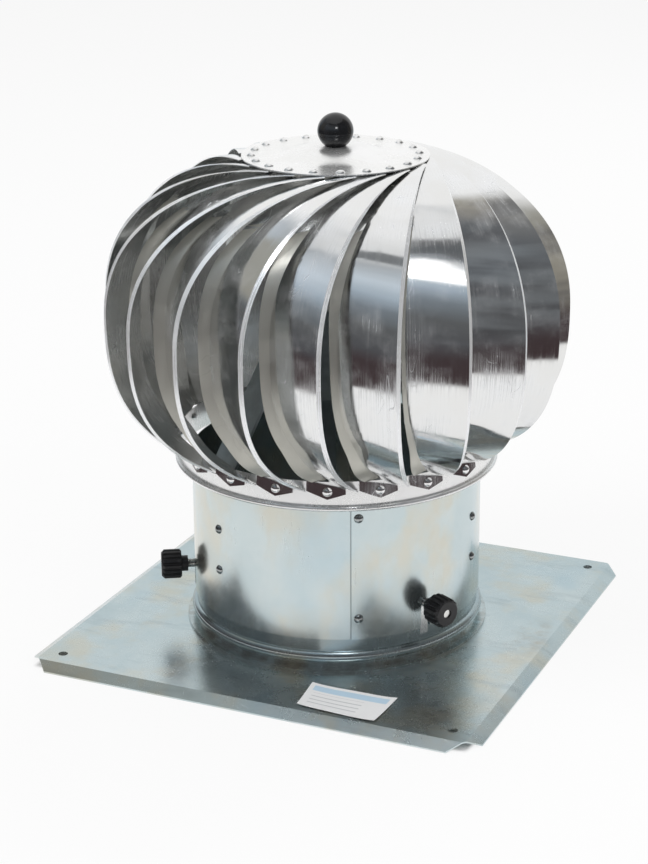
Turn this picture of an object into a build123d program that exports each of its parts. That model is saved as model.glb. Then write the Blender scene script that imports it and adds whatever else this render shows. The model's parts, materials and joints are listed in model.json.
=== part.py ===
from build123d import *
import math
import os

# Rotary chimney cowl: a turbine head of curved aluminium vanes on a galvanised neck and base plate.
# Millimetres, +Z up. The origin is on the rotor's axis, in the plane that the base plate stands on.

# Base plate: a flat field with its four edges bent down
plate_side = 325.0
edge_run = 8.0
plate_sheet = 1.0
edge_drop = 4.5
corner_cut = 18.0
bolt_edge = 21.0
bolt_hole = 6.5

# Galvanised neck and the collar that it slips over
neck_diameter = 200.0
neck_sheet = 0.8
neck_lift = 22.5
neck_height = 101.5
collar_sheet = 0.8
collar_gap = 0.4
collar_height = 48.0
collar_bead = 4.2
collar_bead_height = 9.5
collar_foot = 105.5
collar_foot_sheet = 1.6

# Lap seam down the neck
seam_angle = -61.0
lap_span = 30.0
seam_rivet_offset = 2.8
seam_rivet_edge = 15.0

# Thumb screws that clamp the neck to the collar
screw_count = 3
screw_angle = -30.0
screw_height = 40.5
stud_diameter = 6.0
stud_clearance = 0.05
stud_inner_reach = 8.0
slot_width = 7.0
slot_mouth = 9.0
slot_mouth_height = 5.0
boss_gap = 5.0
boss_diameter = 11.0
boss_length = 4.5
knob_diameter = 20.5
knob_length = 14.0
knob_rib_count = 16
knob_rib_depth = 1.3
knob_rib_rise = 0.2
knob_rib_top = 0.35
knob_back_chamfer = 1.2
knob_face_chamfer = 2.0
stud_recess = 1.0
clamp_nut_flats = 10.0
clamp_nut_height = 5.0
clamp_nut_seat = 1.0

# Three arms that carry the bearing housing over the neck
arm_count = 3
arm_angle = 1.0
arm_width = 24.0
arm_sheet = 2.0
arm_end = 6.0
arm_bend = 4.0
arm_seat_gap = 0.05
arm_rivet_high = 86.0
arm_rivet_low = 56.5
arm_tab_length = 17.0

# Bearing housing, sealed bearings and shaft
housing_height = 230.0
housing_length = 42.0
housing_diameter = 29.0
housing_flange_diameter = 68.0
housing_flange_sheet = 4.0
housing_land = 19.0
bearing_outside = 22.0
bearing_bore = 8.0
bearing_width = 7.0
bearing_inner_ring = 12.1
lower_bearing_inset = 6.0
bearing_fit = 0.02
seal_gap = 0.05
shoulder_diameter = 11.6
shoulder_length = 3.0
shaft_tail = 10.0
housing_bolt = 5.0
housing_bolt_flats = 8.0
housing_bolt_head = 3.5
bolt_clearance = 0.1
bolt_end = 1.5

# Turbine rotor
rotor_diameter = 315.6
equator_height = 225.0
crown_height = 328.0
vane_count = 20
vane_turn = -76.2
vane_sheet = 0.6
vane_tip_overlap = 9.0
vane_foot_overlap = -5.0
vane_fold_width = 7.5
vane_fold_depth = 5.0
vane_fold_start = 0.10
vane_fold_lead_in = 0.30
vane_fold_run_out = 0.12
vane_tip_width = 16.5
vane_tip_reach = 16.0
vane_crown_fullness = 2.25
vane_skirt_fullness = 2.7
vane_crown_stations = 15
vane_skirt_stations = 14
vane_overrun = 6.0
hem_width = 5.5
hem_angle = 42.0
hem_lead_in = 0.30
hem_run_out = 0.14
hem_least = 0.4

# Top disc and ball
disc_diameter = 125.0
disc_sheet = 0.8
disc_flat = 28.0
disc_rise = 5.6
disc_land = 20.0
disc_seat_gap = 0.05
disc_rivet_inset = 6.8
disc_rivet_angle = 67.0
disc_rivet_slack = 0.9
ball_diameter = 24.0
ball_base = 13.3
ball_thread = 9.0
shaft_nut_flats = 13.0
shaft_nut_height = 6.5
washer_diameter = 24.0
washer_sheet = 1.6

# Bottom ring of the rotor and the vane feet riveted to it
ring_diameter = 217.2
ring_sheet = 0.8
ring_bottom = 118.0
ring_height = 20.0
ring_bead = 3.6
ring_bead_step = 1.0
foot_height = 131.0
foot_gap = 0.05
foot_angle = 24.7
foot_rivet_height = 131.6
foot_left = 13.6
foot_left_height = 132.0
foot_right = 11.8
foot_right_height = 130.0
foot_tip_height = 126.6

# Rivets
rivet_shank = 3.2
rivet_head = 6.4
rivet_dome = 2.0
rivet_tail = 5.2
rivet_tail_height = 1.2
rivet_clearance = 0.05
rivet_seat = 0.05

# Worked out from the sizes above
plate_top = edge_drop + plate_sheet
plate_field = plate_side - 2 * edge_run
bolt_pitch = plate_side - 2 * bolt_edge
neck_radius = neck_diameter / 2
neck_inside = neck_radius - neck_sheet
collar_radius = neck_inside - collar_gap
collar_inside = collar_radius - collar_sheet
screw_z = plate_top + screw_height
rotor_radius = rotor_diameter / 2
disc_radius = disc_diameter / 2
disc_under = plate_top + crown_height
disc_top = disc_under + disc_sheet
ring_radius = ring_diameter / 2
ring_inside = ring_radius - ring_sheet
pitch = 360 / vane_count
foot_radius = ring_radius + foot_gap
housing_z = plate_top + housing_height
housing_top = housing_z + housing_length
lower_bearing_z = housing_z + lower_bearing_inset
upper_bearing_z = housing_top - bearing_width
ball_seat = disc_top + disc_rise
wide = 2 * plate_side
overcut = 2.0


def save(node, *shapes):
    """Write one node; several shapes become a group of separate solids."""
    solids = [solid for shape in shapes for solid in shape.solids()]
    export_step(solids[0] if len(solids) == 1 else Compound(children=solids), f"parts/{node}.step")


def spread(count, first, step=None):
    """Turns about the axis for a pattern that starts at one angle."""
    return [Rot(0, 0, first + i * (step or 360 / count)) for i in range(count)]


def tube(outer, inner, low, high):
    """Round tube about the axis between two heights."""
    wall = Circle(outer) - Circle(inner) if inner else Circle(outer)
    return extrude(Pos(0, 0, low) * wall, high - low)


def rod(radius, start, end, height=0.0):
    """Round rod along +X from one distance off the axis to another."""
    return Pos(start, 0, height) * extrude(Plane.YZ * Circle(radius), end - start)


def hexagon(flats, hole, height):
    """Hexagon nut on the ground plane, bored through."""
    return extrude(RegularPolygon(flats / 2, 6, major_radius=False) - Circle(hole), height)


def rivet(grip, tailed=True):
    """Domed rivet along X: the head outside x = 0, the shank through the grip and the set tail behind."""
    head, shank, tail = rivet_head / 2, rivet_shank / 2, rivet_tail / 2
    crown = (head * head + rivet_dome * rivet_dome) / (2 * rivet_dome)
    half = math.atan2(head, crown - rivet_dome) / 2
    middle = (rivet_dome - crown + crown * math.cos(half), crown * math.sin(half))
    back = [(-grip - rivet_tail_height, 0), (-grip - rivet_tail_height, shank), (-grip, tail)]
    end = back if tailed else [(-grip, 0)]
    outline = Polyline((rivet_dome, 0), *end, (-grip, shank), (0, shank), (0, head))
    return revolve(make_face([outline, ThreePointArc((0, head), middle, (rivet_dome, 0))]), Axis.X)


def rivet_hole(start, end, height):
    """Drill for a rivet along +X."""
    return rod(rivet_shank / 2 + rivet_clearance, start, end, height)


def make_base_plate():
    """Square sheet with sloping edges, corners cut off, the flue hole and the bolt holes."""
    slope = edge_run / edge_drop
    skirt = plate_side + 2 * slope * plate_sheet
    body = loft([Rectangle(skirt, skirt), Pos(0, 0, plate_top) * Rectangle(plate_field, plate_field)])
    body -= Pos(0, 0, -plate_sheet) * body
    trim = Rectangle(plate_side, plate_side)
    reach = math.sqrt(2) * (plate_side - corner_cut)
    trim = trim & (Rot(0, 0, 45) * Rectangle(reach, reach))
    body = body & extrude(trim, plate_top)
    holes = [Pos(x, y) * Circle(bolt_hole / 2) for x in (-bolt_pitch / 2, bolt_pitch / 2)
             for y in (-bolt_pitch / 2, bolt_pitch / 2)]
    return body - extrude(Sketch() + [Circle(collar_inside)] + holes, plate_top)


def make_collar():
    """Collar on a crimped foot, with a swaged bead above the plate and holes for the thumb screws."""
    wall = Pos((collar_inside + collar_radius) / 2, plate_top + collar_height / 2) * Rectangle(
        collar_sheet, collar_height)
    foot = Pos((collar_inside + collar_foot) / 2, plate_top + collar_foot_sheet / 2) * Rectangle(
        collar_foot - collar_inside, collar_foot_sheet)
    swage = Pos(collar_inside, plate_top + collar_bead_height)
    section = wall + foot + swage * Circle(collar_bead) - swage * Circle(collar_bead - collar_sheet)
    section &= Pos(collar_inside + wide / 2, 0) * Rectangle(wide, wide)
    body = revolve(Plane.XZ * section, Axis.Z)
    drill = rod(stud_diameter / 2 + stud_clearance, collar_inside / 2, neck_radius, screw_z)
    return body - [turn * drill for turn in spread(screw_count, screw_angle)]


def neck_slot():
    """Open-bottomed slot that drops over a thumb screw's stud, with a flared mouth."""
    low = plate_top + neck_lift
    half, mouth = slot_width / 2, slot_mouth / 2
    narrow = low + slot_mouth_height
    outline = Polyline((-mouth, low - overcut), (mouth, low - overcut), (mouth, low), (half, narrow),
                       (half, screw_z), (-half, screw_z), (-half, narrow), (-mouth, low), close=True)
    face = Plane.YZ * (make_face(outline) + Pos(0, screw_z) * Circle(half))
    return Pos(collar_inside / 2, 0, 0) * extrude(face, neck_radius)


def neck_rivet_places():
    """Angle and height of each rivet through the neck: the seam's two, then two on each arm."""
    low = plate_top + neck_lift
    seam = [(seam_angle + seam_rivet_offset, z)
            for z in (low + seam_rivet_edge, low + neck_height - seam_rivet_edge)]
    arms = [(arm_angle + i * 360 / arm_count, plate_top + z)
            for i in range(arm_count) for z in (arm_rivet_low, arm_rivet_high)]
    return seam, arms


def make_neck():
    """Rolled tube whose outer lap steps up at the seam, with rivet holes and screw slots."""
    ends = (seam_angle + lap_span, seam_angle + 360)
    step = [Vector(neck_radius + neck_sheet, 0).rotate(Axis.Z, seam_angle),
            Vector(neck_radius, 0).rotate(Axis.Z, seam_angle)]
    middle = Vector(neck_radius + neck_sheet / 2, 0).rotate(Axis.Z, seam_angle + lap_span / 2)
    close = Vector(neck_radius, 0).rotate(Axis.Z, ends[0])
    outside = [CenterArc((0, 0), neck_radius, ends[0], ends[1] - ends[0]), Line(step[1], step[0]),
               ThreePointArc(step[0], middle, close)]
    section = make_face(outside) - Circle(neck_inside)
    body = extrude(Pos(0, 0, plate_top + neck_lift) * section, neck_height)
    seam, arms = neck_rivet_places()
    cuts = [Rot(0, 0, angle) * rivet_hole(neck_inside - overcut, neck_radius + overcut, z)
            for angle, z in seam + arms]
    cuts += [turn * neck_slot() for turn in spread(screw_count, screw_angle)]
    return body - cuts


def seam_rivets():
    """Rivets through the lap, set flush inside so that the collar passes them."""
    outside = neck_radius + neck_sheet + rivet_seat
    one = rivet(outside - neck_inside - rivet_seat, tailed=False)
    return [Rot(0, 0, angle) * Pos(outside, 0, z) * one for angle, z in neck_rivet_places()[0]]


def arm_face():
    """Distance of an arm leg's outer face: its two edges bear on the inside of the neck."""
    return math.sqrt(neck_inside ** 2 - (arm_width / 2) ** 2) - arm_seat_gap


def arm_rivets():
    """Rivets through the neck wall and the arm legs."""
    outside = neck_radius + rivet_seat
    grip = outside - arm_face() + arm_sheet + rivet_seat
    return [Rot(0, 0, angle) * Pos(outside, 0, z) * rivet(grip) for angle, z in neck_rivet_places()[1]]


def housing_bolt_circle():
    """Radius of the bolts through the housing flange and the arm tabs."""
    return (housing_flange_diameter + housing_diameter) / 4


def make_arm():
    """Flat strip: a leg on the neck wall, a run up to the housing and a level tab under its flange."""
    face = arm_face()
    leg_low = plate_top + arm_rivet_low - arm_end
    tab_end = housing_bolt_circle() - arm_tab_length / 2
    tab_z = housing_z - arm_sheet
    leg_top = plate_top + neck_lift + neck_height
    path = Polyline((face - arm_sheet / 2, leg_low), (face - arm_sheet / 2, leg_top),
                    (tab_end + arm_tab_length, tab_z + arm_sheet / 2), (tab_end, tab_z + arm_sheet / 2))
    bend = FilletPolyline(*[tuple(v) for v in path.vertices()], radius=arm_bend)
    strip = offset(bend, arm_sheet / 2, side=Side.BOTH, kind=Kind.TANGENT)
    body = extrude(Plane.XZ * make_face(strip), arm_width / 2, both=True)
    drills = [rivet_hole(face - arm_sheet - overcut, face + overcut, plate_top + z)
              for z in (arm_rivet_low, arm_rivet_high)]
    hole = housing_bolt / 2 + bolt_clearance
    drills.append(Pos(housing_bolt_circle(), 0, tab_z) * extrude(Circle(hole), arm_sheet))
    return body - drills


def make_housing():
    """Turned sleeve with a bolting flange, a bearing seat at each end and a land between them."""
    seat = bearing_outside / 2 + bearing_fit
    body = tube(housing_diameter / 2, housing_land / 2, housing_z, housing_top)
    body += tube(housing_flange_diameter / 2, housing_land / 2, housing_z, housing_z + housing_flange_sheet)
    body -= tube(seat, 0, housing_z, lower_bearing_z + bearing_width)
    body -= tube(seat, 0, upper_bearing_z, housing_top)
    hole = Pos(housing_bolt_circle(), 0, housing_z) * extrude(
        Circle(housing_bolt / 2 + bolt_clearance), housing_flange_sheet)
    return body - [turn * hole for turn in spread(arm_count, arm_angle)]


def housing_bolts():
    """Hexagon bolts down through the flange and the arm tabs."""
    seat = housing_z + housing_flange_sheet
    low = housing_z - arm_sheet - housing_bolt_head - bolt_end
    head = extrude(Pos(0, 0, seat) * RegularPolygon(housing_bolt_flats / 2, 6, major_radius=False),
                   housing_bolt_head)
    bolt = head + tube(housing_bolt / 2, 0, low, seat)
    return [turn * Pos(housing_bolt_circle(), 0, 0) * bolt for turn in spread(arm_count, arm_angle)]


def housing_nuts():
    """Hexagon nuts under the arm tabs."""
    nut = Pos(housing_bolt_circle(), 0, housing_z - arm_sheet - housing_bolt_head) * hexagon(
        housing_bolt_flats, housing_bolt / 2 + bearing_fit, housing_bolt_head)
    return [turn * nut for turn in spread(arm_count, arm_angle)]


def bearing_outer(low):
    """Outer ring of a sealed bearing with its two seals, which end just clear of the inner ring."""
    return tube(bearing_outside / 2, bearing_inner_ring / 2 + seal_gap, low, low + bearing_width)


def bearing_inner(low):
    """Inner ring of a sealed bearing."""
    return tube(bearing_inner_ring / 2, bearing_bore / 2 + bearing_fit, low, low + bearing_width)


def make_shaft():
    """Rotor shaft with a shoulder that rests on the upper bearing and a threaded top for the ball."""
    shoulder = tube(shoulder_diameter / 2, 0, housing_top, housing_top + shoulder_length)
    return shoulder + tube(bearing_bore / 2, 0, lower_bearing_z - shaft_tail, ball_seat + ball_thread)


def shaft_nut(low):
    """Hexagon nut on the shaft."""
    return Pos(0, 0, low) * hexagon(shaft_nut_flats, bearing_bore / 2 + bearing_fit, shaft_nut_height)


def make_disc():
    """Pressed disc: a level land for the rivets round a shallow raised crown with a flat middle."""
    land = disc_radius - disc_land
    crown = disc_flat / 2
    rise = Spline((land, disc_under), (crown, disc_under + disc_rise), tangents=((-1, 0), (-1, 0)))
    upper = Spline((land, disc_top), (crown, disc_top + disc_rise), tangents=((-1, 0), (-1, 0)))
    hole = bearing_bore / 2 + bearing_fit
    outline = [
        Line((disc_radius, disc_under), (land, disc_under)), rise,
        Polyline((crown, disc_under + disc_rise), (hole, disc_under + disc_rise),
                 (hole, disc_top + disc_rise), (crown, disc_top + disc_rise)), upper,
        Polyline((land, disc_top), (disc_radius, disc_top), (disc_radius, disc_under)),
    ]
    body = revolve(Plane.XZ * make_face(outline), Axis.Z)
    return body - [turn * disc_rivet_drill() for turn in vane_turns()]


def disc_rivet_place():
    """Place of a vane's top rivet, on the vane's own bearing."""
    return Rot(0, 0, disc_rivet_angle) * Pos(disc_radius - disc_rivet_inset, 0, 0)


def disc_rivet_drill():
    """Drill for a rivet through the disc and the vane tip."""
    low = disc_under - vane_sheet - overcut
    return disc_rivet_place() * tube(rivet_shank / 2 + rivet_clearance, 0, low, disc_top + disc_rise)


def vane_turns():
    """Turns that carry the one modelled vane round the rotor."""
    return spread(vane_count, vane_turn, pitch)


def make_ball():
    """Ball knob, flattened where it sits on the disc and bored for the shaft's thread."""
    drop = math.sqrt((ball_diameter / 2) ** 2 - (ball_base / 2) ** 2)
    body = Pos(0, 0, ball_seat + drop) * Sphere(ball_diameter / 2)
    body -= tube(ball_diameter, 0, ball_seat - ball_diameter, ball_seat)
    return body - tube(bearing_bore / 2 + bearing_fit, 0, ball_seat, ball_seat + ball_thread)


def vane_span():
    """Reach of a vane's outer edge along its own upright plane, which touches the disc's rim."""
    return math.sqrt(rotor_radius ** 2 - disc_radius ** 2)


def vane_curve():
    """Stations of the vane's profile from tip to foot: reach, height and outward normal of each."""
    span = vane_span()
    middle = plate_top + equator_height
    foot_reach = math.sqrt(foot_radius ** 2 - disc_radius ** 2)
    tip_share = (1 - (vane_tip_reach / span) ** vane_crown_fullness) ** (1 / vane_crown_fullness)
    crown = (disc_under - disc_seat_gap - middle) / tip_share
    skirt = (equator_height - foot_height) / (
        1 - (foot_reach / span) ** vane_skirt_fullness) ** (1 / vane_skirt_fullness)
    stations = []

    def add(reach, depth, fullness, side):
        share = (1 - (reach / span) ** fullness) ** (1 / fullness)
        outward = (reach / span) ** (fullness - 1) / span
        upward = side * share ** (fullness - 1) / depth
        size = math.hypot(outward, upward)
        stations.append((reach, middle + side * depth * share, outward / size, upward / size))

    upper, lower = vane_crown_stations, vane_skirt_stations
    tip = math.acos((vane_tip_reach / span) ** (vane_crown_fullness / 2))
    inside = foot_reach - vane_overrun
    foot = math.acos((inside / span) ** (vane_skirt_fullness / 2))
    for i in range(upper):
        reach = span * math.cos(tip * (1 - i / upper)) ** (2 / vane_crown_fullness)
        add(reach, crown, vane_crown_fullness, 1)
    for i in range(lower + 1):
        reach = span * math.cos(foot * i / lower) ** (2 / vane_skirt_fullness)
        add(reach, skirt, vane_skirt_fullness, -1)
    return stations


def ease(share):
    """Smooth step from 0 to 1."""
    share = min(max(share, 0.0), 1.0)
    return share * share * (3 - 2 * share)


def thicken(line):
    """Closed outline of a bent sheet from the corners of its outer side."""
    sides = [(b - a).normalized().rotate(Axis.Z, 90) for a, b in zip(line, line[1:])]
    back = [line[0] + sides[0] * vane_sheet]
    for corner, before, after in zip(line[1:], sides, sides[1:]):
        back.append(corner + (before + after) * (vane_sheet / (1 + before.dot(after))))
    back.append(line[-1] + sides[-1] * vane_sheet)
    return line + back[::-1]


def vane_section(station, share):
    """Corners across the vane at one station: a shallow fold inside, a hem on the outer edge."""
    reach, height, out, up = station
    bend = math.radians(hem_angle)
    turn = math.radians(pitch)
    hem = max(hem_width * ease(share / hem_lead_in) * ease((1 - share) / hem_run_out), hem_least)
    fold = vane_fold_depth * ease((share - vane_fold_start) / vane_fold_lead_in)
    fold *= ease((1 - share) / vane_fold_run_out)
    overlap = vane_tip_overlap + (vane_foot_overlap - vane_tip_overlap) * share
    near = (disc_radius - overlap - reach * math.sin(turn)) / math.cos(turn)
    near = min(near, disc_radius - vane_tip_width)
    outside = [
        Vector(near, 0), Vector(near + vane_fold_width, fold), Vector(disc_radius, 0),
        Vector(disc_radius + hem * math.cos(bend), hem * math.sin(bend)),
    ]
    return [Vector(reach - corner.Y * out, corner.X, height - corner.Y * up) for corner in thicken(outside)]


def make_blade():
    """Blade curved from tip to foot, built face by face between the lines of its corners."""
    curve = vane_curve()
    last = len(curve) - 1
    sections = [vane_section(station, i / last) for i, station in enumerate(curve)]
    edges = [Edge.make_spline(corner) for corner in zip(*sections)]
    faces = [Face.make_surface_from_curves(edges[k - 1], edges[k]) for k in range(len(edges))]
    ends = [Face(Wire.make_polygon(sections[k], close=True)) for k in (0, -1)]
    return Solid(Shell(faces + ends))


def under_vane():
    """Space outside and below the vane's profile near its foot, which trims the riveting tab."""
    low = plate_top + ring_bottom
    curve = [(reach - out * vane_sheet / 2, height - up * vane_sheet / 2)
             for reach, height, out, up in vane_curve()[-5:]]
    far = (rotor_radius, curve[0][1])
    outline = [Spline(*curve), Polyline(curve[-1], (curve[-1][0], low), (rotor_radius, low), far, curve[0])]
    return extrude(Plane.XZ * make_face(outline), -2 * disc_radius)


def make_foot_tab():
    """Pointed tab that lies on the ring's wall below the vane."""
    low, high = plate_top + ring_bottom, plate_top + ring_bottom + 2 * ring_height
    outline = Polyline((-foot_left, high), (-foot_left, plate_top + foot_left_height),
                       (0, plate_top + foot_tip_height), (foot_right, plate_top + foot_right_height),
                       (foot_right, high), close=True)
    prism = Rot(0, 0, foot_angle) * extrude(Plane.YZ * make_face(outline), rotor_radius)
    return tube(foot_radius + vane_sheet, foot_radius, low, high) & prism & under_vane()


def foot_drill():
    """Drill for a rivet through the ring's wall and the foot tab."""
    height = plate_top + foot_rivet_height
    return Rot(0, 0, foot_angle) * rivet_hole(ring_inside - overcut, foot_radius + overcut, height)


def make_vane():
    """One vane: the blade ends on the ring's wall, with its foot tab and its two rivet holes."""
    low = plate_top + ring_bottom
    body = make_blade() - tube(foot_radius, 0, low - ring_height, low + 2 * ring_height)
    body += make_foot_tab()
    return body - foot_drill() - disc_rivet_drill()


def make_ring():
    """Bottom ring: an upright wall on a rolled bead, drilled for the vane feet."""
    low = plate_top + ring_bottom
    wall = Pos(ring_radius - ring_sheet / 2, low + (ring_height + ring_bead / 2) / 2) * Rectangle(
        ring_sheet, ring_height - ring_bead / 2)
    bead = Pos(ring_radius + ring_bead_step, low + ring_bead / 2) * Circle(ring_bead / 2)
    body = revolve(Plane.XZ * (wall + bead), Axis.Z)
    return body - [turn * foot_drill() for turn in vane_turns()]


def foot_rivets():
    """One rivet through each vane foot and the ring."""
    outside = foot_radius + vane_sheet + rivet_seat
    one = Rot(0, 0, foot_angle) * Pos(outside, 0, plate_top + foot_rivet_height) * rivet(
        outside - ring_inside + rivet_seat)
    return [turn * one for turn in vane_turns()]


def disc_rivets():
    """One rivet through the disc and each vane tip."""
    one = disc_rivet_place() * Pos(0, 0, disc_top) * Rot(0, -90, 0) * rivet(
        disc_sheet + disc_seat_gap + vane_sheet + disc_rivet_slack)
    return [turn * one for turn in vane_turns()]


def make_stud():
    """Thumb screw's steel stud, from inside the clamp nut out into the knob."""
    return rod(stud_diameter / 2, collar_inside - stud_inner_reach,
               neck_radius + boss_gap + boss_length + knob_length - stud_recess, screw_z)


def make_knob():
    """Ribbed plastic knob with a round boss towards the neck."""
    step = 360 / knob_rib_count
    tip, root = knob_diameter / 2, knob_diameter / 2 - knob_rib_depth
    outline = []
    for i in range(knob_rib_count):
        top = knob_rib_rise + knob_rib_top
        for share, radius in ((0, root), (knob_rib_rise, tip), (top, tip), (top + knob_rib_rise, root)):
            angle = math.radians(step * (i + share))
            outline.append((radius * math.cos(angle), radius * math.sin(angle)))
    hole = Circle(stud_diameter / 2 + bearing_fit)
    start = neck_radius + boss_gap
    boss = Pos(start, 0, screw_z) * extrude(Plane.YZ * (Circle(boss_diameter / 2) - hole), boss_length)
    grip = extrude(Plane.YZ * (make_face(Polyline(*outline, close=True)) - hole), knob_length)
    rim = knob_length - knob_face_chamfer
    grip &= revolve(Plane.XY * Polygon(
        (0, 0), (0, tip - knob_back_chamfer), (knob_back_chamfer, tip), (rim, tip),
        (knob_length, tip - knob_face_chamfer), (knob_length, 0), align=None), Axis.X)
    return boss + Pos(start + boss_length, 0, screw_z) * grip


def clamp_nuts():
    """Nuts on the inside of the collar that take the thumb screws."""
    nut = Pos(collar_inside - clamp_nut_height, 0, screw_z) * Rot(0, 90, 0) * hexagon(
        clamp_nut_flats, stud_diameter / 2 + stud_clearance, clamp_nut_height)
    seat = tube(collar_inside, 0, plate_top, plate_top + collar_height)
    nut = (Pos(clamp_nut_seat, 0, 0) * nut + nut) & seat
    return [turn * nut for turn in spread(screw_count, screw_angle)]


os.makedirs("parts", exist_ok=True)

save("base_plate", make_base_plate())
save("base_collar", make_collar())
save("clamp_nuts", *clamp_nuts())

save("neck_tube", make_neck())
save("seam_rivets", *seam_rivets())
save("arm_rivets", *arm_rivets())
arm = make_arm()
for i, turn in enumerate(spread(arm_count, arm_angle)):
    save(f"bearing_arm_{i + 1}", turn * arm)
save("bearing_housing", make_housing())
save("housing_bolts", *housing_bolts())
save("housing_nuts", *housing_nuts())
save("lower_bearing_outer", bearing_outer(lower_bearing_z))
save("upper_bearing_outer", bearing_outer(upper_bearing_z))

stud = make_stud()
knob = make_knob()
for i, turn in enumerate(spread(screw_count, screw_angle)):
    save(f"screw_stud_{i + 1}", turn * stud)
    save(f"screw_knob_{i + 1}", turn * knob)

save("rotor_shaft", make_shaft())
save("lower_bearing_inner", bearing_inner(lower_bearing_z))
save("upper_bearing_inner", bearing_inner(upper_bearing_z))
shaft_hole = bearing_bore / 2 + bearing_fit
spacer_low = lower_bearing_z + bearing_width
save("bearing_spacer", tube(bearing_inner_ring / 2, shaft_hole, spacer_low, upper_bearing_z))
save("shaft_lock_nut", shaft_nut(lower_bearing_z - shaft_nut_height))
washer_low = disc_under + disc_rise - washer_sheet
save("disc_washer", tube(washer_diameter / 2, shaft_hole, washer_low, disc_under + disc_rise))
save("disc_nut", shaft_nut(washer_low - shaft_nut_height))
save("top_disc", make_disc())
save("disc_rivets", *disc_rivets())
save("ball_knob", make_ball())
save("bottom_ring", make_ring())
save("foot_rivets", *foot_rivets())
vane = make_vane()
for i, turn in enumerate(vane_turns()):
    save(f"vane_{i + 1:02d}", turn * vane)
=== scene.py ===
import json
import math

import bpy
from mathutils import Matrix, Vector

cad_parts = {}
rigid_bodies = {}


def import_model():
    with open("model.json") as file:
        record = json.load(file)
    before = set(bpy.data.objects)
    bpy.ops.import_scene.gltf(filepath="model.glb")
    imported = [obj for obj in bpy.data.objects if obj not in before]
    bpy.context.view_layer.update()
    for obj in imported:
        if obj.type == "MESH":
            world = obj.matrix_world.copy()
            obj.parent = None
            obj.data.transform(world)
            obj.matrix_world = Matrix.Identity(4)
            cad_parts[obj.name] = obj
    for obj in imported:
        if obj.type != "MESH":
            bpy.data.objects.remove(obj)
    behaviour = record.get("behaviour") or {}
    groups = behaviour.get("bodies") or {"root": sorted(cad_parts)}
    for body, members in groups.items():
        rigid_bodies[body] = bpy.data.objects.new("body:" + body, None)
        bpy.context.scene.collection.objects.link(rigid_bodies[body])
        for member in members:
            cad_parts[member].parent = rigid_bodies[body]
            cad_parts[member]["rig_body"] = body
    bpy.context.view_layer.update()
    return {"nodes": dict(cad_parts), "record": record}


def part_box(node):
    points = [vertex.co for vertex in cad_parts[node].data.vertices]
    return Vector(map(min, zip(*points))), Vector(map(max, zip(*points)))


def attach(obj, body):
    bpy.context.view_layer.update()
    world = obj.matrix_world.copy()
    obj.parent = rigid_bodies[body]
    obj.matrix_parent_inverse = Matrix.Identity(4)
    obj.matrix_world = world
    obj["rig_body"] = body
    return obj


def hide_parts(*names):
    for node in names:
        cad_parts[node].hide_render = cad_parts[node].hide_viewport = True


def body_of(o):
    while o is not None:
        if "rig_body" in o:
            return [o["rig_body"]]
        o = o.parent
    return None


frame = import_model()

nodes = frame["nodes"]

# Camera at the photograph's viewing angle
camera_place = Vector((0.5682, -1.2981, 0.6471))
camera_aim = Vector((-0.378, 0.8636, -0.3337))
camera_roll = math.radians(-0.19)
camera_lens = 90.725
camera_shift = (-0.0144, -0.0105)

# Studio
floor_side = 40.0
floor_glow = 0.85
room_light = 0.55
dome_radius = 0.58
dome_drawn = 0.68
dome_foot = 0.001
key_lamp = {"place": (-1.1, -1.2, 1.9), "aim": (0, 0, 0.15), "side": 1.2, "power": 22.0}
fill_lamp = {"place": (1.7, -0.6, 1.3), "aim": (0, 0, 0.2), "side": 1.4, "power": 12.0}
back_lamp = {"place": (0.2, 1.7, 1.7), "aim": (0, 0, 0.2), "side": 1.4, "power": 14.0}

# Vanes, on their own bearings about the rotor's axis
vane_count = 20
vane_bearing = math.radians(-76.2)
vane_middle = 0.2305
vane_reach = 0.1449
vane_crown, vane_skirt = 0.1030, 0.1055
crown_fullness, skirt_fullness = 2.25, 2.7
vane_edge = 0.0625
vane_lap, vane_lap_slope = 0.00176, 0.00785
vane_sheet = 0.0006
strip_step = 0.37

# What is pressed into each vane: its fold, the lip beside it and the hem
fold_depth = 0.005
fold_width = 0.0075
fold_more = 0.0055
least_fold = 0.001
most_share = 1.2
lip_in, lip_across = 0.004, 0.0038
hem_share = 0.55
# Strength of the painted dark reflection and the roughness on a vane's inner side, and the sideways tilt
# past which a lip face gets them in full
inner_dull_and_dark = 0.35
lip_turn = 0.25

# Degrees along the vane where each of them begins and is full
fold_top, fold_foot = (58, 15), (-50, -37)
press_top, press_foot = (30, 2), (-38, -24)
hem_foot = (-48, -36)

# Foot tabs and their rivets, on the ring's wall
ring_radius = 0.1086
ring_top = 0.1435
tab_inside, tab_outside = 0.0003, 0.0010
tab_side = 0.004
tab_lean = math.tan(math.radians(8))
rivet_height = 0.1371

# Thumb screws, three about the neck
screw_bearing = -30.0
thread_pitch = 0.001

# Paper label on the plate
label_corners = ((0.0330, -0.1161), (0.0932, -0.1153), (0.0919, -0.1521), (0.0367, -0.1493))
label_cuts = 11
label_sheet = 0.00016
label_lift = 0.0012
end_curl, near_curl, label_ripple = 0.7, 0.6, 0.12

merge_distance = 1e-6
smooth_angle = math.radians(28)
fold_angle = math.radians(13)


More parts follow.
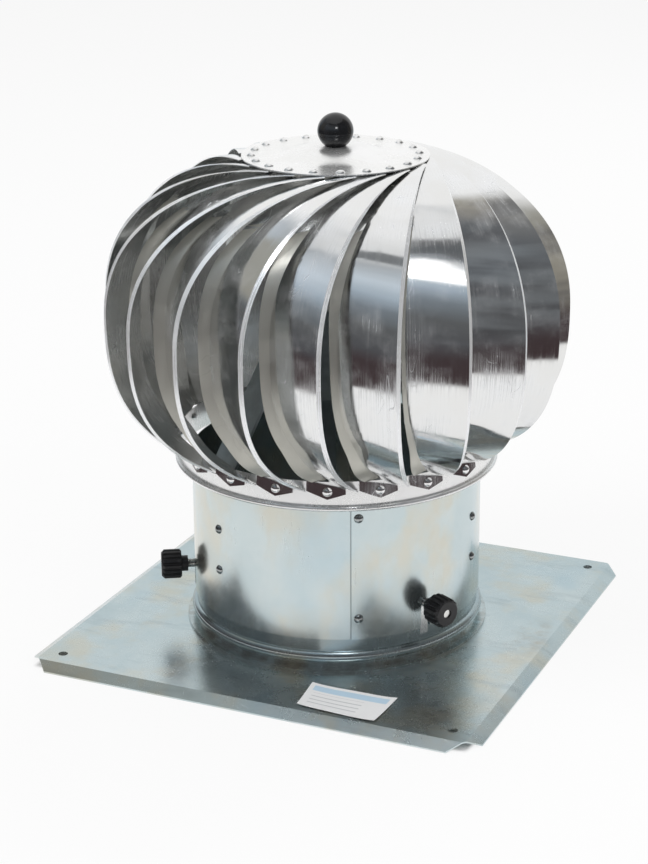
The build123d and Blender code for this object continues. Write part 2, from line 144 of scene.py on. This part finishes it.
class Value:
    """A socket of a finish. Arithmetic on it adds the nodes that work it out."""

    def __init__(self, finish, socket):
        self.finish = finish
        self.socket = socket

    def maths(self, operation, first, second=0.0):
        return self.finish.node("ShaderNodeMath", {"operation": operation}, {0: first, 1: second})

    def __add__(self, other):
        return self.maths("ADD", self, other)

    def __radd__(self, other):
        return self.maths("ADD", other, self)

    def __sub__(self, other):
        return self.maths("SUBTRACT", self, other)

    def __rsub__(self, other):
        return self.maths("SUBTRACT", other, self)

    def __mul__(self, other):
        return self.maths("MULTIPLY", self, other)

    def __rmul__(self, other):
        return self.maths("MULTIPLY", other, self)

    def __truediv__(self, other):
        return self.maths("DIVIDE", self, other)

    def __pow__(self, other):
        return self.maths("POWER", self, other)

    def larger(self, other):
        return self.maths("MAXIMUM", self, other)

    def zigzag(self, span):
        """Rises from 0 to a span and falls back, over and over."""
        return self.maths("PINGPONG", self, span)

    def rise(self, low, high):
        """Smooth step from 0 at one value to 1 at another."""
        return self.finish.node("ShaderNodeMapRange", {"interpolation_type": "SMOOTHSTEP"},
                                {"Value": self, "From Min": low, "From Max": high})


class Finish:
    """A material, or the world, and the nodes that it is made of."""

    def __init__(self, name, owner=None):
        self.owner = owner or bpy.data.materials.new(name)
        self.owner.use_nodes = True
        self.tree = self.owner.node_tree
        self.tree.nodes.clear()

    def node(self, kind, settings=None, sockets=None, output=0):
        made = self.tree.nodes.new(kind)
        for key, value in (settings or {}).items():
            if key == "stops":
                self.set_stops(made.color_ramp, value)
            else:
                setattr(made, key, value)
        for key, value in (sockets or {}).items():
            if isinstance(value, Value):
                self.tree.links.new(value.socket, made.inputs[key])
            else:
                made.inputs[key].default_value = value
        return Value(self, made.outputs[output]) if len(made.outputs) else made

    @staticmethod
    def set_stops(ramp, stops):
        while len(ramp.elements) < len(stops):
            ramp.elements.new(1.0)
        for element, (place, colour) in zip(ramp.elements, stops):
            element.position = place
            element.color = (*colour, 1.0)

    def place(self):
        return self.node("ShaderNodeTexCoord", output="Object")

    def parts(self, vector):
        kind = "ShaderNodeSeparateXYZ"
        return [self.node(kind, sockets={0: vector}, output=axis) for axis in range(3)]

    def stretch(self, vector, scale):
        return self.node("ShaderNodeVectorMath", {"operation": "MULTIPLY"}, {0: vector, 1: scale})

    def noise(self, vector, scale, detail=3.0, roughness=0.5):
        return self.node("ShaderNodeTexNoise", sockets={
            "Vector": vector, "Scale": scale, "Detail": detail, "Roughness": roughness})

    def mix(self, factor, first, second):
        made = {"data_type": "RGBA", "clamp_factor": True}
        return self.node("ShaderNodeMix", made, {0: factor, 6: first, 7: second}, output=2)

    def bearing(self, x, y):
        """Bearing about the upright axis, in degrees."""
        return self.node("ShaderNodeMath", {"operation": "ARCTAN2"}, {0: y, 1: x}) * (180 / math.pi)

    def bump(self, height, strength, distance, normal=None):
        sockets = {"Height": height, "Strength": strength, "Distance": distance}
        if normal:
            sockets["Normal"] = normal
        return self.node("ShaderNodeBump", sockets=sockets)

    def coat(self, **sockets):
        """Ends the material with a Principled shader."""
        named = {key.replace("_", " ").title(): value for key, value in sockets.items()}
        return self.end(self.node("ShaderNodeBsdfPrincipled", sockets=named))

    def end(self, shader, kind="ShaderNodeOutputMaterial"):
        self.node(kind, sockets={"Surface": shader})
        return self.owner


def colour(red, green, blue):
    return (red, green, blue, 1.0)


def seen_directly(finish):
    """1 for camera, glossy and transmission rays, which see the white background."""
    path = "ShaderNodeLightPath"
    camera = finish.node(path, output="Is Camera Ray")
    glossy = finish.node(path, output="Is Glossy Ray")
    return camera.larger(glossy).larger(finish.node(path, output="Is Transmission Ray"))


def vane_finish():
    """Bright rolled aluminium: brushed along the strip, hazy and scratched, rougher with a painted dark
    reflection on its inner side and the fold's lip, and a painted highlight on the hem.
    """
    f = Finish("bright_vane_sheet")
    strip = f.node("ShaderNodeAttribute", {"attribute_name": "strip"}, output="Vector")
    dull = f.node("ShaderNodeAttribute", {"attribute_name": "dull"}, output="Fac")
    hem = f.node("ShaderNodeAttribute", {"attribute_name": "hem"}, output="Fac")
    brushed = f.noise(f.stretch(strip, (1.0, 0.012, 1.0)), 1400.0, 4.0, 0.65)
    broad = f.noise(f.stretch(strip, (1.0, 0.03, 1.0)), 260.0, 3.0, 0.6)
    smear = f.noise(strip, 24.0, 4.0, 0.6)
    slow = f.noise(f.stretch(strip, (1.0, 0.5, 1.0)), 16.0, 1.5, 0.4)
    nick = f.noise(f.stretch(strip, (1.0, 0.6, 1.0)), 75.0, 1.0, 0.4)
    nick = nick.rise(0.494, 0.498) * (1 - nick.rise(0.502, 0.506)) * smear.rise(0.56, 0.66)
    streak = brushed.rise(0.42, 0.72)
    haze = smear.rise(0.45, 0.66)
    tint = f.mix(smear.rise(0.35, 0.75), colour(0.80, 0.80, 0.79), colour(0.83, 0.84, 0.85))
    tint = f.mix(nick * 0.5, tint, colour(0.93, 0.94, 0.95))
    # The hem is painted lighter and less metallic: a painted highlight along the rolled edge.
    tint = f.mix(hem, tint, colour(0.88, 0.89, 0.90))
    # Painted dark reflection: the inner side and the fold's lip are painted a darker olive grey.
    tint = f.mix(dull, tint, colour(0.54, 0.53, 0.48))
    rough = 0.06 + streak * 0.08 + broad.rise(0.45, 0.8) * 0.07 + haze * (0.05 + streak * 0.14)
    rough = rough + nick * 0.35 + dull * 0.26 + hem * 0.18
    waves = f.bump(slow, 0.06, 0.01)
    scratched = haze * (0.08 + streak * 0.24)
    return f.coat(base_color=tint, metallic=1 - hem * 0.45 - dull * 0.25 - scratched, roughness=rough,
                  normal=f.bump(brushed, 0.07, 0.0002, waves))


def plain_sheet_finish():
    """Mill-finish aluminium of the disc and the ring."""
    f = Finish("mill_aluminium")
    place = f.place()
    fine = f.noise(f.stretch(place, (1.0, 1.0, 0.2)), 900.0, 3.0, 0.6)
    cloud = f.noise(place, 26.0, 4.0, 0.6)
    tint = f.mix(cloud.rise(0.35, 0.7), colour(0.86, 0.86, 0.85), colour(0.92, 0.92, 0.92))
    rough = 0.24 + cloud.rise(0.3, 0.8) * 0.08 + fine.rise(0.4, 0.8) * 0.03
    return f.coat(base_color=tint, metallic=0.85, roughness=rough, normal=f.bump(fine, 0.015, 0.0002))


def galvanised_finish(name, least_rough, marks):
    """Zinc-coated sheet: soft spangle, cloudy oxide, broad warm and cool tints, and marks of its own."""
    f = Finish(name)
    place = f.place()
    spangle = f.node("ShaderNodeTexVoronoi", {"feature": "F1"}, {"Vector": place, "Scale": 130.0},
                     output="Color")
    grain = f.parts(spangle)[0]
    cloud = f.noise(place, 16.0, 5.0, 0.62)
    warm = f.noise(f.stretch(place, (1.0, 1.0, 0.7)), 19.0, 4.0, 0.58)
    cool = f.noise(f.stretch(place, (1.3, 1.0, 0.8)), 13.0, 2.0, 0.5)
    scuff = f.noise(f.stretch(place, (1.0, 1.0, 0.06)), 420.0, 3.0, 0.6)
    base = f.mix(cloud.rise(0.3, 0.7), colour(0.55, 0.64, 0.66), colour(0.66, 0.73, 0.73))
    base = f.mix(warm.rise(0.46, 0.66) * 0.72, base, colour(0.67, 0.63, 0.52))
    base = f.mix(cool.rise(0.52, 0.70) * 0.50, base, colour(0.47, 0.61, 0.68))
    base = f.mix(grain * 0.10, base, colour(0.78, 0.83, 0.84))
    rough = least_rough + cloud.rise(0.35, 0.7) * 0.08 + grain * 0.03 + scuff.rise(0.55, 0.8) * 0.06
    return f.coat(base_color=marks(f, place, base), metallic=0.95, roughness=rough,
                  normal=f.bump(scuff + grain * 0.3, 0.04, 0.0003))


def neck_marks(f, place, base):
    """Painted shadow along the lap seam's edge, and patchy darkening towards the lower edge."""
    x, y, z = f.parts(place)
    bearing = f.bearing(x, y)
    # Painted shadow of the lap's edge, a narrow dark stripe along the seam
    painted_lap_shadow = bearing.rise(-61.5, -61.3) * (1 - bearing.rise(-61.0, -60.8))
    # Patchy darkening towards the lower edge
    darker_low_patches = f.noise(place, 90.0, 4.0, 0.6).rise(0.45, 0.75) * (1 - z.rise(0.022, 0.040))
    base = f.mix(painted_lap_shadow * 0.6, base, colour(0.16, 0.19, 0.20))
    return f.mix(darker_low_patches * 0.35, base, colour(0.36, 0.36, 0.32))


def collar_marks(f, place, base):
    """Painted shade on the wall under the neck, bright metal in the screw slots, and patchy brown
    towards the foot.
    """
    x, y, z = f.parts(place)
    brown_patches = f.noise(place, 110.0, 4.0, 0.65).rise(0.30, 0.62)
    # Painted shade on the upper wall, under the neck's rim
    base = f.mix(z.rise(0.014, 0.017) * 0.55, base, colour(0.30, 0.37, 0.39))
    apart = (f.bearing(x, y) - screw_bearing).zigzag(60.0)
    slit = (1 - apart.rise(1.7, 2.0)) * z.rise(0.0225, 0.0240)
    base = f.mix(slit, base, colour(0.95, 0.97, 0.97))
    # Patchy brown towards the foot
    return f.mix((1 - z.rise(0.0085, 0.0105)) * brown_patches * 0.45, base, colour(0.28, 0.24, 0.19))


def plate_marks(f, place, base):
    """Brown smudge on the plate's right side, and rubbed streaks round the collar."""
    x, y, z = f.parts(place)
    patchy = f.noise(place, 55.0, 4.0, 0.65)
    across, along = x - 0.141, y - 0.004
    smudge = 1 - (across * across * 2.2 + along * along * 0.35).rise(0.00003, 0.00060)
    rub = f.noise(f.stretch(place, (0.35, 1.5, 1.0)), 60.0, 3.0, 0.6)
    base = f.mix(smudge * patchy.rise(0.35, 0.70) * 0.55, base, colour(0.40, 0.34, 0.27))
    return f.mix(rub.rise(0.52, 0.72) * 0.35, base, colour(0.40, 0.46, 0.48))


def rivet_finish():
    """Turned rivet aluminium with cloudy patches of dirt."""
    f = Finish("rivet_aluminium")
    cloud = f.noise(f.place(), 420.0, 3.0, 0.6)
    tint = f.mix(cloud.rise(0.45, 0.75), colour(0.86, 0.86, 0.86), colour(0.62, 0.62, 0.60))
    return f.coat(base_color=tint, metallic=1.0, roughness=0.14 + cloud.rise(0.4, 0.8) * 0.16)


def steel_finish(name, light, dark, rough):
    """Machined or plated steel with faint turning marks."""
    f = Finish(name)
    place = f.place()
    x, y, z = f.parts(place)
    reach = (x * x + y * y) ** 0.5
    turned = f.noise(f.node("ShaderNodeCombineXYZ", sockets={0: reach, 1: z}), 2600.0, 2.0, 0.5)
    cloud = f.noise(place, 60.0, 4.0, 0.6)
    tint = f.mix(cloud.rise(0.35, 0.7), colour(*light), colour(*dark))
    return f.coat(base_color=tint, metallic=1.0, roughness=rough + turned.rise(0.4, 0.75) * 0.12,
                  normal=f.bump(turned, 0.08, 0.0002))


def stud_finish():
    """Steel stud whose thread shows on the bared length: turns counted along the stud from the axis,
    with painted shade in the grooves and a painted highlight on the crests.
    """
    f = Finish("threaded_stud_steel")
    x, y, z = f.parts(f.place())
    reach = (x * x + y * y) ** 0.5
    thread = reach.zigzag(thread_pitch / 2) * (2 / thread_pitch)
    shine = f.noise(f.place(), 300.0, 3.0, 0.6)
    # Painted shade in the thread's grooves and painted highlight on its crests
    tint = f.mix(thread, colour(0.30, 0.30, 0.29), colour(0.74, 0.74, 0.72))
    return f.coat(base_color=tint, metallic=1.0, roughness=0.22 + shine.rise(0.4, 0.8) * 0.15,
                  normal=f.bump(thread, 0.6, 0.0004))


def knob_finish():
    """Moulded black plastic with a satin grain and grey rubbing."""
    f = Finish("black_moulded_plastic")
    place = f.place()
    grain = f.noise(place, 2400.0, 2.0, 0.5)
    rub = f.noise(place, 190.0, 4.0, 0.65)
    tint = f.mix(rub.rise(0.52, 0.78), colour(0.012, 0.012, 0.013), colour(0.045, 0.045, 0.046))
    return f.coat(base_color=tint, roughness=0.36 + rub.rise(0.4, 0.7) * 0.18,
                  normal=f.bump(grain, 0.12, 0.0002))


def ball_finish():
    """Polished black plastic ball with faint handling marks."""
    f = Finish("polished_black_plastic")
    rub = f.noise(f.place(), 120.0, 4.0, 0.6)
    tint = f.mix(rub.rise(0.5, 0.8), colour(0.008, 0.008, 0.009), colour(0.02, 0.02, 0.022))
    return f.coat(base_color=tint, roughness=0.04 + rub.rise(0.45, 0.8) * 0.06)


def label_finish():
    """Plain paper label: a pale blue bar and grey rules, with no words."""
    f = Finish("plain_paper_label")
    sheet = f.node("ShaderNodeUVMap", {"uv_map": "UVMap"})
    across, down, _ = f.parts(sheet)
    fibre = f.noise(f.place(), 1500.0, 3.0, 0.6)
    bar = down.rise(0.70, 0.71) * (1 - down.rise(0.90, 0.91))
    bar = bar * across.rise(0.05, 0.06) * (1 - across.rise(0.94, 0.95))
    rules = down.zigzag(0.07).rise(0.052, 0.056)
    rules = rules * (1 - down.rise(0.62, 0.63)) * down.rise(0.10, 0.11)
    rules = rules * across.rise(0.08, 0.09) * (1 - across.rise(0.70, 0.71))
    base = f.mix(fibre, colour(0.80, 0.81, 0.82), colour(0.88, 0.88, 0.88))
    base = f.mix(bar * 0.8, base, colour(0.42, 0.62, 0.78))
    base = f.mix(rules * 0.55, base, colour(0.35, 0.37, 0.39))
    return f.coat(base_color=base, roughness=0.55 + fibre * 0.15, normal=f.bump(fibre, 0.05, 0.0002))


def floor_finish():
    """White paper floor: seen as white, and darkened where the object shades it or covers it."""
    f = Finish("white_paper_floor")
    x, y, z = f.parts(f.place())
    covered = (1 - (x * x).rise(0.0236, 0.0250)) * (1 - (y * y).rise(0.0236, 0.0250))
    paper = f.node("ShaderNodeBsdfDiffuse", sockets={"Color": colour(0.86, 0.86, 0.86)})
    glow = f.node("ShaderNodeEmission", sockets={"Color": colour(1, 1, 1), "Strength": 1.0})
    share = seen_directly(f) * (1 - covered) * floor_glow
    return f.end(f.node("ShaderNodeMixShader", sockets={0: share, 1: paper, 2: glow}))


def dome_finish():
    """What polished metal sees: a dark room, a pale ceiling, a lamp and a white back wall."""
    f = Finish("studio_surroundings")
    place = f.stretch(f.place(), (dome_drawn / dome_radius,) * 3)
    x, y, z = f.parts(place)
    bearing = f.bearing(x, y)

    def sector(low, high, soft):
        return bearing.rise(low - soft, low + soft) * (1 - bearing.rise(high - soft, high + soft))

    cloud = f.noise(place, 7.0, 4.0, 0.6)
    patch = f.noise(f.stretch(place, (1.0, 1.0, 0.4)), 11.0, 2.0, 0.5)
    level = z / dome_drawn + (cloud - 0.5) * 0.08 * z.rise(0.06, 0.20)
    room = f.node("ShaderNodeValToRGB", {"stops": (
        (0.00, (0.95, 0.95, 0.95)), (0.012, (0.95, 0.95, 0.95)), (0.03, (0.055, 0.038, 0.040)),
        (0.20, (0.060, 0.045, 0.048)), (0.32, (0.088, 0.090, 0.098)), (0.55, (0.12, 0.125, 0.13)),
        (0.70, (0.20, 0.23, 0.26)), (0.79, (0.42, 0.50, 0.58)), (0.87, (0.62, 0.70, 0.78)),
        (0.93, (0.46, 0.49, 0.52)), (0.955, (0.78, 0.79, 0.80)), (1.0, (0.95, 0.95, 0.95)))},
        {"Fac": level})
    room = f.mix(patch.rise(0.55, 0.75) * z.rise(0.10, 0.25) * 0.35, room, colour(0.32, 0.36, 0.40))
    dim = sector(-48, 70, 7) * z.rise(0.10, 0.20) * (1 - z.rise(0.654, 0.662))
    dark = f.mix(cloud.rise(0.40, 0.62), colour(0.075, 0.075, 0.080), colour(0.16, 0.17, 0.18))
    drab = f.mix(cloud.rise(0.40, 0.62), colour(0.16, 0.15, 0.14), colour(0.34, 0.32, 0.27))
    room = f.mix(dim * 0.88, room, f.mix(bearing.rise(8, 30), dark, drab))
    left = (1 - bearing.rise(-150, -130)) * z.rise(0.40, 0.47) * (1 - z.rise(0.60, 0.64))
    room = f.mix(left * 0.9, room, colour(0.36, 0.35, 0.31))
    edge = sector(-125, 10, 8) * z.rise(0.632, 0.637) * (1 - z.rise(0.648, 0.654))
    room = f.mix(edge * 0.85, room, colour(0.13, 0.14, 0.15))
    lamp = sector(-70, -48, 2) * z.rise(0.553, 0.561) * (1 - z.rise(0.618, 0.626))
    room = f.mix(lamp, room, colour(1.4, 1.4, 1.42))
    core = sector(-66, -53, 1) * z.rise(0.570, 0.576) * (1 - z.rise(0.602, 0.608))
    room = f.mix(core, room, colour(12.0, 12.0, 12.2))
    wall = f.mix(z.rise(0.30, 0.42), colour(0.74, 0.79, 0.81), colour(1.0, 1.0, 1.0))
    back = bearing.rise(44, 60) * (1 - bearing.rise(152, 170))
    room = f.mix(back * z.rise(0.02, 0.06), room, wall)
    return f.end(f.node("ShaderNodeEmission", sockets={"Color": room, "Strength": 1.0}))


def world_finish():
    """Plain white room light, with a white background."""
    f = Finish("room", bpy.context.scene.world or bpy.data.worlds.new("room"))
    share = seen_directly(f)
    strength = room_light + share * (1 - room_light)
    shader = f.node("ShaderNodeBackground", sockets={"Color": colour(1, 1, 1), "Strength": strength})
    bpy.context.scene.world = f.end(shader, "ShaderNodeOutputWorld")


def only(piece):
    """Makes one object the only selected one, and the active one."""
    bpy.ops.object.select_all(action="DESELECT")
    piece.select_set(True)
    bpy.context.view_layer.objects.active = piece


def take(piece, material):
    piece.data.materials.clear()
    piece.data.materials.append(material)


def smooth_copy(node, name, material):
    """A merged, smooth copy of a CAD node, which stands for it and rides on its body."""
    source = nodes[node]
    piece = bpy.data.objects.new(name, source.data.copy())
    bpy.context.scene.collection.objects.link(piece)
    only(piece)
    bpy.ops.object.mode_set(mode="EDIT")
    bpy.ops.mesh.select_all(action="SELECT")
    bpy.ops.mesh.customdata_custom_splitnormals_clear()
    bpy.ops.mesh.remove_doubles(threshold=merge_distance)
    bpy.ops.object.mode_set(mode="OBJECT")
    bpy.ops.object.shade_smooth_by_angle(angle=smooth_angle)
    take(piece, material)
    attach(piece, body_of(source)[0])
    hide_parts(node)
    return piece


def ease(value, begins, full):
    """Smooth step from 0 where it begins to 1 where it is full."""
    share = min(max((value - begins) / (full - begins), 0.0), 1.0)
    return share * share * (3 - 2 * share)


def vane_turn(number):
    """Turn that brings a vane to the bearing that its curve is worked out on."""
    return Matrix.Rotation(-vane_bearing - number * math.tau / vane_count, 3, "Z")


def vane_rim(angle):
    """Distance of the vane's outer edge from the middle of its curve."""
    height, fullness = (vane_crown, crown_fullness) if angle > 0 else (vane_skirt, skirt_fullness)
    across = abs(math.cos(angle) / vane_reach) ** fullness
    upward = abs(math.sin(angle) / height) ** fullness
    return (across + upward) ** (-1 / fullness)


def vane_near(angle):
    """Place of the vane's inner edge across the strip."""
    pitch = math.tau / vane_count
    reach = vane_rim(angle) * math.cos(angle)
    return (vane_edge - vane_lap - vane_lap_slope * angle - reach * math.sin(pitch)) / math.cos(pitch)


def stand_off(height):
    """How far a leaning foot tab stands off the ring's wall."""
    return max(ring_top - height, 0.0) * tab_lean


def dress_vane(piece, number):
    """Steepens the fold, narrows the hem and leans the foot tab out, as pressed sheet has them."""
    turn = vane_turn(number)
    back = turn.transposed()
    facings = [turn @ point.normal for point in piece.data.vertices]
    for point, facing in zip(piece.data.vertices, facings):
        local = turn @ point.co
        reach = math.hypot(local.x, local.y)
        if local.z < ring_top and -tab_inside < reach - ring_radius < tab_outside:
            local.xy *= (reach + stand_off(local.z)) / reach
        else:
            angle = math.atan2(local.z - vane_middle, local.x)
            degrees = math.degrees(angle)
            depth = vane_rim(angle) - math.hypot(local.x, local.z - vane_middle)
            if local.y > vane_edge:
                local.y = vane_edge + (local.y - vane_edge) * hem_share
                push = depth * (hem_share - 1) * ease(degrees, *hem_foot)
            else:
                made = fold_depth * ease(degrees, *fold_top) * ease(degrees, *fold_foot)
                if facing.x * math.cos(angle) + facing.z * math.sin(angle) < 0:
                    depth -= vane_sheet
                share = min(max(depth / max(made, least_fold), 0), most_share)
                whole = ease(degrees, *press_top) * ease(degrees, *press_foot)
                lip = whole * max(1 - share, 0) * (local.y < vane_near(angle) + fold_width / 2)
                push = fold_more * whole * share + lip_in * lip
                local.y += lip_across * lip
            local.x -= push * math.cos(angle)
            local.z -= push * math.sin(angle)
        point.co = back @ local


def mark_sides(piece, number):
    """Marks the hem's faces, which get a painted highlight, and the rougher faces with a painted dark
    reflection: the fold's lip and the whole inner side.
    """
    turn = vane_turn(number)
    dull = piece.data.attributes.new("dull", "FLOAT", "FACE")
    hem = piece.data.attributes.new("hem", "FLOAT", "FACE")
    for face in piece.data.polygons:
        centre, normal = turn @ face.center, turn @ face.normal
        outward = normal.x * centre.x + normal.z * (centre.z - vane_middle)
        if centre.z < ring_top and centre.y < vane_edge - tab_side:
            continue
        # Hem faces: painted highlight
        hem.data[face.index].value = float(centre.y > vane_edge and outward > 0)
        if centre.y < vane_edge:
            # Painted dark reflection: part strength on the inner side, full on the fold's lip
            dull.data[face.index].value = inner_dull_and_dark if outward < 0 else float(normal.y > lip_turn)


def lean_rivets(piece):
    """Moves the foot rivets' heads out onto the leaning tabs."""
    for point in piece.data.vertices:
        reach = math.hypot(point.co.x, point.co.y)
        if reach > ring_radius:
            point.co.xy *= (reach + stand_off(rivet_height)) / reach


def mark_strip(piece, number):
    """Keeps each point's place on the strip: across it, along it, and which vane it is."""
    turn = vane_turn(number)
    marks = piece.data.attributes.new("strip", "FLOAT_VECTOR", "POINT")
    for point, mark in zip(piece.data.vertices, marks.data):
        local = turn @ point.co
        along = math.atan2(local.z - vane_middle, local.x) * vane_reach
        mark.vector = (local.y, along, number * strip_step)


def make_label():
    """Paper label with curled ends, laid on the plate."""
    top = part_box("base_plate")[1][2]
    bpy.ops.object.select_all(action="DESELECT")
    bpy.ops.mesh.primitive_grid_add(x_subdivisions=label_cuts, y_subdivisions=label_cuts, size=1.0)
    label = bpy.context.object
    label.name = "paper_label"
    far_left, far_right, near_right, near_left = [Vector((x, y, top)) for x, y in label_corners]
    for point in label.data.vertices:
        u, v = point.co.x + 0.5, point.co.y + 0.5
        near = near_left.lerp(near_right, u)
        point.co = near.lerp(far_left.lerp(far_right, u), v)
        curl = (2 * u - 1) ** 4 * end_curl + (1 - v) ** 5 * near_curl
        curl += label_ripple * math.sin(5 * u + 2 * v) ** 2
        point.co.z += label_sheet + label_lift * curl
    only(label)
    thick = label.modifiers.new("paper", "SOLIDIFY")
    thick.thickness = label_sheet
    bpy.ops.object.modifier_apply(modifier=thick.name)
    bpy.ops.object.shade_smooth_by_angle(angle=smooth_angle)
    take(label, label_finish())
    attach(label, "base")


def make_lamp(name, place, aim, side, power):
    light = bpy.data.lights.new(name, "AREA")
    light.shape = "SQUARE"
    light.size = side
    light.energy = power
    lamp = bpy.data.objects.new(name, light)
    lamp.location = place
    lamp.rotation_euler = (Vector(aim) - Vector(place)).to_track_quat("-Z", "Y").to_euler()
    lamp.visible_glossy = False
    bpy.context.scene.collection.objects.link(lamp)


def make_studio():
    bpy.ops.object.select_all(action="DESELECT")
    bpy.ops.mesh.primitive_plane_add(size=floor_side)
    floor = bpy.context.object
    floor.name = "floor"
    take(floor, floor_finish())
    bpy.ops.object.select_all(action="DESELECT")
    bpy.ops.mesh.primitive_uv_sphere_add(segments=96, ring_count=48, radius=dome_radius)
    dome = bpy.context.object
    dome.name = "surroundings"
    bpy.ops.object.mode_set(mode="EDIT")
    bpy.ops.mesh.select_all(action="SELECT")
    bpy.ops.mesh.bisect(plane_co=(0, 0, dome_foot), plane_no=(0, 0, 1), clear_inner=True)
    bpy.ops.object.mode_set(mode="OBJECT")
    take(dome, dome_finish())
    dome.visible_camera = False
    dome.visible_diffuse = False
    dome.visible_transmission = False
    dome.visible_shadow = False
    for name, lamp in (("key_lamp", key_lamp), ("fill_lamp", fill_lamp), ("back_lamp", back_lamp)):
        make_lamp(name, **lamp)


def make_camera():
    lens = bpy.data.cameras.new("photo_camera")
    lens.lens = camera_lens
    lens.sensor_width = 36.0
    lens.shift_x, lens.shift_y = camera_shift
    camera = bpy.data.objects.new("photo_camera", lens)
    facing = camera_aim.to_track_quat("-Z", "Y").to_matrix() @ Matrix.Rotation(camera_roll, 3, "Z")
    camera.matrix_world = Matrix.Translation(camera_place) @ facing.to_4x4()
    bpy.context.scene.collection.objects.link(camera)
    bpy.context.scene.camera = camera


finishes = {
    "vane_aluminium": vane_finish(),
    "plain_aluminium": plain_sheet_finish(),
    "neck": galvanised_finish("galvanised_neck", 0.17, neck_marks),
    "collar": galvanised_finish("galvanised_collar", 0.17, collar_marks),
    "galvanised_sheet": galvanised_finish("galvanised_plate", 0.21, plate_marks),
    "rivet_aluminium": rivet_finish(),
    "rivet_steel": steel_finish("rivet_steel", (0.44, 0.46, 0.46), (0.26, 0.28, 0.28), 0.20),
    "galvanised_arm": steel_finish("galvanised_strip", (0.58, 0.64, 0.66), (0.48, 0.53, 0.55), 0.30),
    "zinc_steel": steel_finish("zinc_plated_steel", (0.66, 0.67, 0.66), (0.54, 0.55, 0.54), 0.28),
    "bright_steel": steel_finish("bright_turned_steel", (0.70, 0.70, 0.70), (0.56, 0.56, 0.56), 0.18),
    "stud": stud_finish(),
    "knob_plastic": knob_finish(),
    "ball_plastic": ball_finish(),
}

rounded = {
    "neck_tube": ("neck_wall", "neck"),
    "base_collar": ("collar_wall", "collar"),
    "bottom_ring": ("ring_wall", "plain_aluminium"),
    "top_disc": ("disc_sheet", "plain_aluminium"),
    "ball_knob": ("ball", "ball_plastic"),
    "seam_rivets": ("seam_rivet_heads", "rivet_steel"),
    "arm_rivets": ("arm_rivet_heads", "rivet_steel"),
    "foot_rivets": ("foot_rivet_heads", "rivet_aluminium"),
    "disc_rivets": ("disc_rivet_heads", "rivet_aluminium"),
}
for number in range(1, 4):
    rounded[f"screw_knob_{number}"] = (f"thumb_knob_{number}", "knob_plastic")

slots = {part["node"]: part["material_slot"] for part in frame["record"]["subparts"]}
pieces = {node: smooth_copy(node, name, finishes[finish]) for node, (name, finish) in rounded.items()}
lean_rivets(pieces["foot_rivets"])
for number in range(vane_count):
    mark = f"{number + 1:02d}"
    vane = smooth_copy(f"vane_{mark}", f"vane_sheet_{mark}", finishes["vane_aluminium"])
    dress_vane(vane, number)
    bpy.ops.object.shade_smooth_by_angle(angle=fold_angle)
    mark_strip(vane, number)
    mark_sides(vane, number)

for node, slot in slots.items():
    if node in rounded or node.startswith("vane_"):
        continue
    take(nodes[node], finishes["stud" if node.startswith("screw_stud") else slot])

make_label()
make_studio()
world_finish()
make_camera()
bpy.context.scene.view_settings.view_transform = "Standard"
